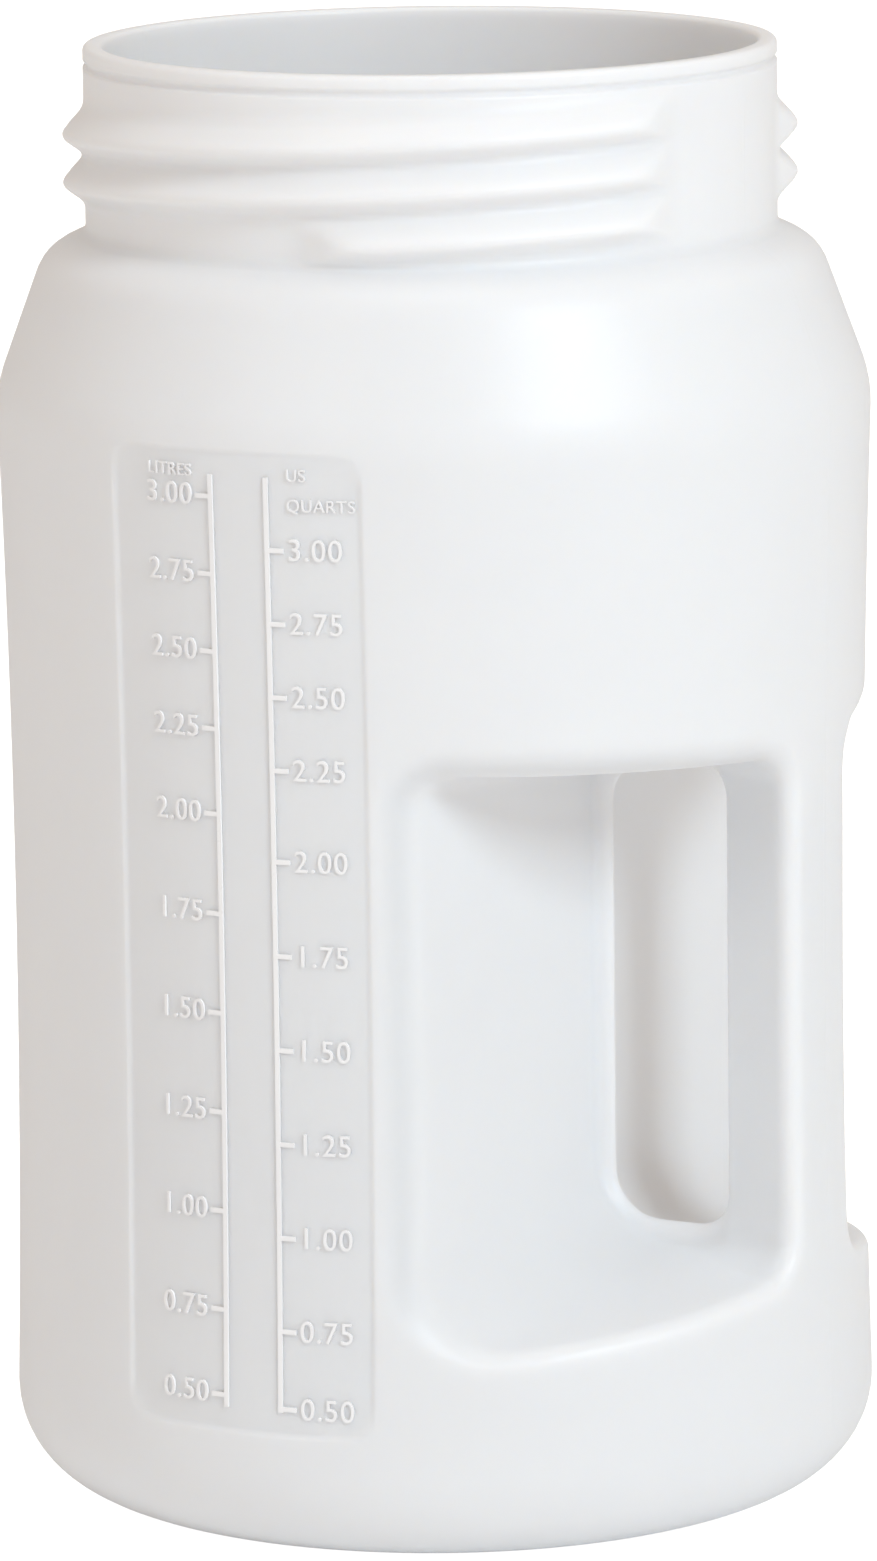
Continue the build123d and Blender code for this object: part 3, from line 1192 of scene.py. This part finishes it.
    def tree(self, plastic: bpy.types.Material) -> tuple[bpy.types.NodeTree, dict[str, Any]]:
        """Build the scale's geometry nodes.

        Args:
            plastic: The scale's material.

        Returns:
            The node tree and the values of its inputs by identifier.
        """
        tree = bpy.data.node_groups.new("volume_scale", "GeometryNodeTree")
        marks = round((self.last_mark - self.first_mark) / self.mark_step) + 1
        count = tree.interface.new_socket("Mark count", in_out="INPUT", socket_type="NodeSocketInt")
        size = tree.interface.new_socket("Numeral size", in_out="INPUT", socket_type="NodeSocketFloat")
        tree.interface.new_socket("Geometry", in_out="OUTPUT", socket_type="NodeSocketGeometry")
        graph = NodeGraph(tree)
        inputs = graph.node("NodeGroupInput")
        sizes = [Wire(graph, inputs.outputs[name]) for name in ("Mark count", "Numeral size")]
        flat = graph.join(
            [piece for column in Column for piece in self.column_wires(graph, column, *sizes)]
        )
        position = graph.wire("GeometryNodeInputPosition")
        place = graph.node("ShaderNodeSeparateXYZ", {}, {"Vector": position})
        across, up, out = (Wire(graph, place.outputs[axis]) for axis in ("X", "Y", "Z"))
        centre, middle, arc = self.profile.wall_arc()
        fall = (arc * arc - (up - middle) ** 2.0) ** 0.5
        radius = (centre - self.panel.depth) - fall + out
        turn = across / self.profile.body_radius
        laid = self.place_wire(
            graph,
            graph.maths("SINE", turn) * radius * MM,
            graph.maths("COSINE", turn) * radius * -MM,
            up * MM,
        )
        laid_out = graph.wire("GeometryNodeSetPosition", 0, {}, {"Geometry": flat, "Position": laid})
        real = graph.wire("GeometryNodeRealizeInstances", 0, {}, {"Geometry": laid_out})
        dressed = graph.wire("GeometryNodeSetMaterial", 0, {}, {"Geometry": real, "Material": plastic})
        graph.node("NodeGroupOutput", {}, {0: dressed})
        return tree, {count.identifier: marks, size.identifier: self.numeral_size}

    def build(self, plastic: bpy.types.Material) -> bpy.types.Object:
        """Run the nodes and keep the result as a plain mesh.

        Args:
            plastic: The scale's material.

        Returns:
            The scale's object, in metres.
        """
        tree, values = self.tree(plastic)
        maker = put_in_scene("scale_maker", bpy.data.meshes.new("scale_maker"))
        modifier = maker.modifiers.new("volume_scale", "NODES")
        modifier.node_group = tree
        for identifier, value in values.items():
            modifier[identifier] = value
        graph = bpy.context.evaluated_depsgraph_get()
        mesh = bpy.data.meshes.new_from_object(maker.evaluated_get(graph))
        maker.modifiers.remove(modifier)
        bpy.data.objects.remove(maker)
        mesh.name = "volume_scale_marks"
        return put_in_scene("volume_scale_marks", mesh)

    def dress(self, marks: bpy.types.Object) -> None:
        """Put the scale in the frame."""
        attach(marks, BODY)
        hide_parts("volume_scale")
        log.info("%s: %d faces", marks.name, len(marks.data.polygons))


# ---- studio ----
@dataclass(frozen=True)
class SoftLight:
    """One soft square light: its place and side in metres, its power in watts and its colour."""

    name: str
    place: Triple
    size: float
    power: float
    tint: Triple

    def build(self, target: Vector) -> None:
        """Make the light and turn it to a target."""
        lamp = bpy.data.lights.new(self.name, "AREA")
        lamp.size = self.size
        lamp.energy = self.power
        lamp.color = self.tint
        holder = put_in_scene(self.name, lamp)
        holder.location = self.place
        holder.rotation_euler = (target - Vector(self.place)).to_track_quat("-Z", "Y").to_euler()


@dataclass
class Studio:
    """Floor, lights, surroundings and camera, in metres and degrees.

    The camera stands at a distance from the point target_height up the axis, and looks at the point
    aim_height up. Its lens and sensor are in millimetres.
    """

    azimuth: float = 27.5
    elevation: float = 10.531
    distance: float = 1.6
    target_height: float = 0.127
    aim_height: float = 0.1259
    roll: float = -0.698
    lens: float = 205.9
    sensor: float = 36.0
    clip_start: float = 0.05
    floor_half: float = 14.0
    surroundings: Colour = (1.0, 0.885, 0.79, 1.0)
    surroundings_strength: float = 0.54
    lights: tuple[SoftLight, ...] = (
        SoftLight("key_light", (2.1, -0.94, 1.5), 0.8, 30.0, (0.8, 0.92, 1.0)),
        SoftLight("front_light", (-0.6, -2.2, 1.4), 0.9, 6.0, (0.93, 0.97, 1.0)),
        SoftLight("top_light", (0.1, -0.2, 1.9), 1.2, 5.0, (0.95, 0.98, 1.0)),
    )

    def build_floor(self, finish: bpy.types.Material) -> None:
        """A plain pale floor that runs out of view on every side."""
        half = self.floor_half
        corners = [(-half, -half, 0), (half, -half, 0), (half, half, 0), (-half, half, 0)]
        mesh = bpy.data.meshes.new("studio_floor")
        mesh.from_pydata(corners, [], [(0, 1, 2, 3)])
        mesh.materials.append(finish)
        put_in_scene("studio_floor", mesh)

    def build_surroundings(self) -> None:
        """An even, slightly warm room, and colours shown as they are."""
        world = bpy.data.worlds.new("even_room")
        world.use_nodes = True
        backdrop = world.node_tree.nodes["Background"]
        backdrop.inputs["Color"].default_value = self.surroundings
        backdrop.inputs["Strength"].default_value = self.surroundings_strength
        bpy.context.scene.world = world
        bpy.context.scene.view_settings.view_transform = "Standard"

    def build_camera(self) -> None:
        """The camera, from the front right and a little above."""
        turn, tilt = math.radians(self.azimuth), math.radians(self.elevation)
        flat = Vector((math.sin(turn), -math.cos(turn), 0)) * math.cos(tilt)
        back = flat + Vector((0, 0, math.sin(tilt)))
        eye = Vector((0, 0, self.target_height)) + back * self.distance
        aim = Vector((0, 0, self.aim_height)) - eye
        lens = bpy.data.cameras.new("studio_camera")
        lens.lens = self.lens
        lens.sensor_width = self.sensor
        lens.clip_start = self.clip_start
        camera = put_in_scene("studio_camera", lens)
        turned = aim.to_track_quat("-Z", "Y").to_matrix().to_4x4()
        rolled = Matrix.Rotation(math.radians(self.roll), 4, "Z")
        camera.matrix_world = Matrix.Translation(eye) @ turned @ rolled
        bpy.context.scene.camera = camera

    def build(self) -> None:
        """Make everything round the object."""
        self.build_floor(PaleFloor().make())
        self.build_surroundings()
        for light in self.lights:
            light.build(Vector((0, 0, self.target_height)))
        self.build_camera()


def main() -> None:
    """Build the container and its studio."""
    shell = ContainerShell()
    shell.dress(shell.build(), MilkyPolyethylene().make())
    scale = VolumeScale()
    # The marks are the container's own plastic. Here they get a lighter tint and no inner glow: a
    # painted highlight that makes the raised scale read lighter than the panel round it.
    raised = MilkyPolyethylene(
        name="raised_polyethylene",
        tint=(0.95, 0.95, 0.96, 1.0),
        thin_tint=(0.9, 0.9, 0.92, 1.0),
        roughness=0.3,
        glow_mix=0.0,
    )
    scale.dress(scale.build(raised.make()))
    Studio().build()


if __name__ == "__main__":
    main()
